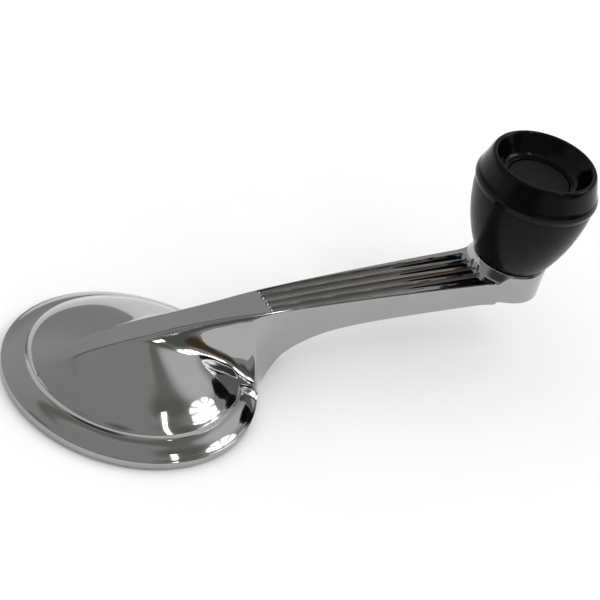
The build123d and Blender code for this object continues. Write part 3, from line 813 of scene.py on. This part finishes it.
def barrel_piece():
    """Barrel of the knob: a tapered bulge with a small radius at its base."""
    outside = arc_through(BARREL_FOOT, BARREL_MIDDLE, BARREL_TOP, BARREL_STEPS)
    inside = [(r, BARREL_FOOT[1]) for r in BARREL_INSIDE]
    base = rounded(inside + [outside[0], outside[3]], BARREL_ROUND)
    return turned("knob_barrel_body", base + outside[4:] + list(BARREL_EDGE))


def collar_piece():
    """Collar: a bead at its widest line, a cone up to the lip, and the deep recess."""
    return turned("knob_collar_body", rounded(COLLAR, COLLAR_ROUND, COLLAR_STEPS))


def plug_piece():
    """The slightly dished disc in the recess."""
    return turned("knob_plug_body", PLUG)


# Materials ----------------------------------------------------------------------------------

class Nodes:
    """A material's node tree, with short calls to add and join nodes."""

    def __init__(self, name):
        self.material = bpy.data.materials.new(name)
        self.material.use_nodes = True
        self.tree = self.material.node_tree
        self.shader = self.tree.nodes["Principled BSDF"]
        self.place = self.tree.nodes.new("ShaderNodeTexCoord").outputs["Object"]

    def join(self, a, b):
        self.tree.links.new(a, b)

    def noise(self, scale, detail=4.0, rough=0.55, stretch=None):
        """Noise of that scale in cells a metre; stretch squeezes it along the axes."""
        node = self.tree.nodes.new("ShaderNodeTexNoise")
        node.inputs["Scale"].default_value = scale
        node.inputs["Detail"].default_value = detail
        node.inputs["Roughness"].default_value = rough
        place = self.place
        if stretch:
            mapping = self.tree.nodes.new("ShaderNodeMapping")
            mapping.inputs["Scale"].default_value = stretch
            self.join(place, mapping.inputs["Vector"])
            place = mapping.outputs["Vector"]
        self.join(place, node.inputs["Vector"])
        return node.outputs["Fac"]

    def tone(self, source, dark, light, high=NOISE_HIGH):
        """A colour that goes from dark to light with the noise."""
        node = self.tree.nodes.new("ShaderNodeValToRGB")
        marks = node.color_ramp.elements
        for mark, place, colour in zip(marks, (NOISE_LOW, high), (dark, light)):
            mark.position = place
            mark.color = (*colour, 1)
        self.join(source, node.inputs["Fac"])
        return node.outputs["Color"]

    def range(self, source, low, high):
        """A value that goes from low to high with the noise."""
        node = self.tree.nodes.new("ShaderNodeMapRange")
        node.inputs["From Min"].default_value = NOISE_LOW
        node.inputs["From Max"].default_value = NOISE_HIGH
        node.inputs["To Min"].default_value = low
        node.inputs["To Max"].default_value = high
        self.join(source, node.inputs["Value"])
        return node.outputs["Result"]

    def bump(self, source, height, under=None):
        """A bump of that height in metres, on top of another bump."""
        node = self.tree.nodes.new("ShaderNodeBump")
        node.inputs["Strength"].default_value = 1.0
        node.inputs["Distance"].default_value = height
        self.join(source, node.inputs["Height"])
        if under:
            self.join(under, node.inputs["Normal"])
        return node.outputs["Normal"]

    def finish(self, colour, rough, normal, metallic=0.0):
        """Joins up the shader and returns the material."""
        self.join(colour, self.shader.inputs["Base Color"])
        self.join(rough, self.shader.inputs["Roughness"])
        self.join(normal, self.shader.inputs["Normal"])
        self.shader.inputs["Metallic"].default_value = metallic
        return self.material


def metal(name, dark, light, rough, height=4e-6, scale=900, stretch=None):
    """A metal with faint tone changes, uneven gloss and fine tool marks."""
    n = Nodes(name)
    tone = n.tone(n.noise(130, 5), dark, light)
    gloss = n.range(n.noise(260, 6, 0.6), *rough)
    marks = n.bump(n.noise(scale, 4, 0.6, stretch), height)
    return n.finish(tone, gloss, marks, 1.0)


def chrome_material():
    """Bright plate: long soft waves of the polished casting, and a few faint wipe marks."""
    n = Nodes("chrome")
    tone = n.tone(n.noise(60, 4), (0.37, 0.366, 0.362), (0.395, 0.392, 0.392))
    gloss = n.range(n.noise(420, 7, 0.65), 0.035, 0.085)
    waves = n.bump(n.noise(55, 2, 0.4), 2.2e-5)
    wipes = n.bump(n.noise(2600, 5, 0.7, (0.25, 1, 1)), 4e-7, waves)
    return n.finish(tone, gloss, wipes, 1.0)


def plastic(name, dark, light, rough, height, scale, specular=0.5):
    """Moulded plastic with a faint grain, uneven gloss and small tone changes."""
    n = Nodes(name)
    n.shader.inputs["Specular IOR Level"].default_value = specular
    tone = n.tone(n.noise(90, 5), dark, light, 0.72)
    gloss = n.range(n.noise(320, 6, 0.65), *rough)
    grain = n.bump(n.noise(scale, 4, 0.6), height)
    return n.finish(tone, gloss, grain)


# Each metal or plastic has its dark and light tone, its range of roughness, and the height in
# metres and the scale of its bumps
MATERIALS = {
    "chrome": chrome_material(),
    "insert_steel": metal("insert_steel", (0.3, 0.29, 0.28), (0.46, 0.45, 0.44), (0.28, 0.45),
                          6e-6, 1800, (1, 1, 0.08)),
    "spring_steel": metal("spring_steel", (0.2, 0.2, 0.21), (0.33, 0.33, 0.34), (0.22, 0.4)),
    "stud_steel": metal("stud_steel", (0.46, 0.46, 0.45), (0.6, 0.6, 0.58), (0.2, 0.34)),
    "brass": metal("brass", (0.56, 0.4, 0.17), (0.72, 0.54, 0.26), (0.2, 0.35)),
    "nylon": plastic("nylon", (0.66, 0.63, 0.56), (0.8, 0.78, 0.72), (0.38, 0.55), 8e-6, 900),
    "knob_plastic": plastic("knob_plastic", (0.0022, 0.002, 0.0022), (0.004, 0.0036, 0.004),
                            (0.22, 0.32), 3e-6, 1500, 0.12),
    "collar_plastic": plastic("collar_plastic", (0.0016, 0.0012, 0.0016), (0.003, 0.0024, 0.003),
                              (0.09, 0.16), 2e-6, 900, 0.15),
    "plug_plastic": plastic("plug_plastic", (0.007, 0.0058, 0.0054), (0.014, 0.0118, 0.011),
                            (0.5, 0.68), 1.2e-5, 1600, 0.16),
}


def dress(thing, slot):
    """Gives a piece or CAD node the material of a record slot."""
    thing.data.materials.clear()
    thing.data.materials.append(MATERIALS[slot])


def add_piece(thing, body, slot, *nodes):
    """A new piece that stands for CAD nodes."""
    dress(thing, slot)
    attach(thing, body)
    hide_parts(*nodes)


add_piece(casting(), "crank", "chrome", "handle_casting")
add_piece(barrel_piece(), "knob", "knob_plastic", "knob_barrel")
add_piece(collar_piece(), "knob", "collar_plastic", "knob_collar")
add_piece(plug_piece(), "knob", "plug_plastic", "knob_plug")
CARRIED = {
    "spline_insert": "insert_steel", "retaining_clip": "spring_steel", "knob_stud": "stud_steel",
    "peen_washer": "stud_steel", "head_washer": "stud_steel", "spring_washer": "spring_steel",
    "knob_sleeve": "brass", "wear_ring": "nylon",
}
for node_name, slot_name in CARRIED.items():
    dress(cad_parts[node_name], slot_name)


# Stage, light and camera --------------------------------------------------------------------

def toward(azimuth, elevation):
    """Unit vector to a place in the room: azimuth runs from +X towards +Y."""
    a, e = radians(azimuth), radians(elevation)
    return Vector((cos(a) * cos(e), sin(a) * cos(e), sin(e)))


def floor():
    """The pale floor under the handle."""
    mesh = bpy.data.meshes.new("floor")
    low = cad_low.z - FLOOR_DROP
    corners = [(-1, -1), (1, -1), (1, 1), (-1, 1)]
    mesh.from_pydata([(x * FLOOR_HALF, y * FLOOR_HALF, low) for x, y in corners], [],
                     [(0, 1, 2, 3)])
    thing = bpy.data.objects.new("floor", mesh)
    bpy.context.scene.collection.objects.link(thing)
    n = Nodes("floor_paper")
    tone = n.tone(n.noise(30, 4), (0.85, 0.85, 0.85), (0.87, 0.87, 0.865))
    rough = n.range(n.noise(200, 3), 0.75, 0.9)
    mesh.materials.append(n.finish(tone, rough, n.bump(n.noise(900, 3), 1e-5)))


def lamp(name, one_end, other_end, distance, width, radiance, colour=(1, 1, 1)):
    """A strip light between two directions, at a distance, that faces the handle's middle."""
    first, last = toward(*one_end), toward(*other_end)
    away = (first + last).normalized()
    along = (last - first).normalized()
    data = bpy.data.lights.new(name, "AREA")
    data.shape = "RECTANGLE"
    data.size = (last - first).length * distance
    data.size_y = width
    data.energy = radiance * pi * data.size * data.size_y
    data.color = colour
    thing = bpy.data.objects.new(name, data)
    bpy.context.scene.collection.objects.link(thing)
    turn = Matrix((along, away.cross(along), away)).transposed().to_4x4()
    place = Vector(LIGHT_AIM) + away * distance
    thing.matrix_world = Matrix.Translation(place) @ turn


def camera():
    """The camera, at the photograph's viewing angle and with no lens shift."""
    data = bpy.data.cameras.new("camera")
    data.sensor_width = SENSOR
    data.lens = LENS
    data.clip_start = 0.01
    thing = bpy.data.objects.new("camera", data)
    bpy.context.scene.collection.objects.link(thing)
    a, e, roll = (radians(angle) for angle in CAMERA_ANGLES)
    back = Vector((sin(a) * cos(e), -cos(a) * cos(e), sin(e)))
    right = Vector((0, 0, 1)).cross(back).normalized()
    up = back.cross(right)
    x_axis = cos(roll) * right + sin(roll) * up
    y_axis = cos(roll) * up - sin(roll) * right
    turn = Matrix((x_axis, y_axis, back)).transposed().to_4x4()
    place = Vector(CAMERA_AIM) * MM + back * CAMERA_DISTANCE
    thing.matrix_world = Matrix.Translation(place) @ turn
    bpy.context.scene.camera = thing


def sum_node(tree, operation, source, value):
    """A sum on a source; the value is a number or another source."""
    node = tree.nodes.new("ShaderNodeMath")
    node.operation = operation
    tree.links.new(source, node.inputs[0])
    if isinstance(value, float):
        node.inputs[1].default_value = value
    else:
        tree.links.new(value, node.inputs[1])
    return node.outputs["Value"]


def rise_node(tree, source, low, high, least=0.0, kind="LINEAR"):
    """The least value where the source is at low, 1 where it is at high, and a rise between."""
    node = tree.nodes.new("ShaderNodeMapRange")
    node.interpolation_type = kind
    node.inputs["From Min"].default_value = low
    node.inputs["From Max"].default_value = high
    node.inputs["To Min"].default_value = least
    tree.links.new(source, node.inputs["Value"])
    return node.outputs["Result"]


def height_of(tree, vector):
    """The upright part of a vector."""
    split = tree.nodes.new("ShaderNodeSeparateXYZ")
    tree.links.new(vector, split.inputs[0])
    return split.outputs["Z"]


def zone(tree, view, azimuth, elevation, inner, outer):
    """1 within the inner angle of a direction, and 0 outside the outer angle."""
    dot = tree.nodes.new("ShaderNodeVectorMath")
    dot.operation = "DOT_PRODUCT"
    dot.inputs[1].default_value = toward(azimuth, elevation)
    tree.links.new(view, dot.inputs[0])
    edges = (cos(radians(outer)), cos(radians(inner)))
    return rise_node(tree, dot.outputs["Value"], *edges, kind="SMOOTHSTEP")


def blend(tree, share, a, b):
    """Mix of two colours; each is a colour or a source."""
    node = tree.nodes.new("ShaderNodeMix")
    node.data_type = "RGBA"
    tree.links.new(share, node.inputs["Factor"])
    for socket, value in ((node.inputs["A"], a), (node.inputs["B"], b)):
        if isinstance(value, tuple):
            socket.default_value = (*value, 1)
        else:
            tree.links.new(value, socket)
    return node.outputs["Result"]


def umbrella(tree, view):
    """Share of the lit umbrella in a direction of the room: a disc of bright panels."""
    turn = tree.nodes.new("ShaderNodeVectorRotate")
    turn.rotation_type = "EULER_XYZ"
    turn.invert = True
    turn.inputs["Rotation"].default_value = toward(*UMBRELLA).to_track_quat("Z", "Y").to_euler()
    tree.links.new(view, turn.inputs["Vector"])
    around = tree.nodes.new("ShaderNodeTexGradient")
    around.gradient_type = "RADIAL"
    tree.links.new(turn.outputs["Vector"], around.inputs["Vector"])
    panel = sum_node(tree, "PINGPONG", around.outputs["Fac"], 0.5 / UMBRELLA_PANELS)
    bright = rise_node(tree, panel, *UMBRELLA_SEAM, UMBRELLA_SEAM_LIGHT)
    edges = [cos(radians(angle)) for angle in (UMBRELLA_RADIUS, UMBRELLA_RADIUS - UMBRELLA_EDGE)]
    disc = rise_node(tree, height_of(tree, turn.outputs["Vector"]), *edges)
    return sum_node(tree, "MULTIPLY", bright, disc)


def beam(tree, view):
    """Share of the level beam under the ceiling in a direction of the room."""
    rise = sum_node(tree, "SUBTRACT", height_of(tree, view), sin(radians(BEAM_HEIGHT)))
    near = rise_node(tree, sum_node(tree, "ABSOLUTE", rise, 0.0), *BEAM_WIDTH, kind="SMOOTHSTEP")
    return sum_node(tree, "MULTIPLY", near, zone(tree, view, *BEAM))


def room():
    """The room round the handle: plain white for the camera and for soft light; in the
    reflections grey, with darker and lighter zones, a beam and a lit umbrella."""
    world = bpy.data.worlds.new("room")
    bpy.context.scene.world = world
    world.use_nodes = True
    tree = world.node_tree
    tree.nodes.clear()
    view = tree.nodes.new("ShaderNodeTexCoord").outputs["Generated"]
    shade = blend(tree, zone(tree, view, *BACK_WALL), ROOM_TONE, BACK_WALL_TONE)
    for *place, tone in ROOM_ZONES:
        shade = blend(tree, zone(tree, view, *place), shade, tone)
    shade = blend(tree, beam(tree, view), shade, BEAM_TONE)
    shade = blend(tree, umbrella(tree, view), shade, UMBRELLA_TONE)
    path = tree.nodes.new("ShaderNodeLightPath")
    shade = blend(tree, path.outputs["Is Diffuse Ray"], shade, SOFT_LIGHT)
    shade = blend(tree, path.outputs["Is Camera Ray"], shade, BACKGROUND)
    light = tree.nodes.new("ShaderNodeBackground")
    tree.links.new(shade, light.inputs["Color"])
    out = tree.nodes.new("ShaderNodeOutputWorld")
    tree.links.new(light.outputs["Background"], out.inputs["Surface"])


floor()
room()
lamp("strip", *STRIP_ENDS, STRIP_DISTANCE, STRIP_WIDTH, STRIP_RADIANCE, STRIP_COLOUR)
camera()
bpy.context.scene.view_settings.view_transform = "Standard"
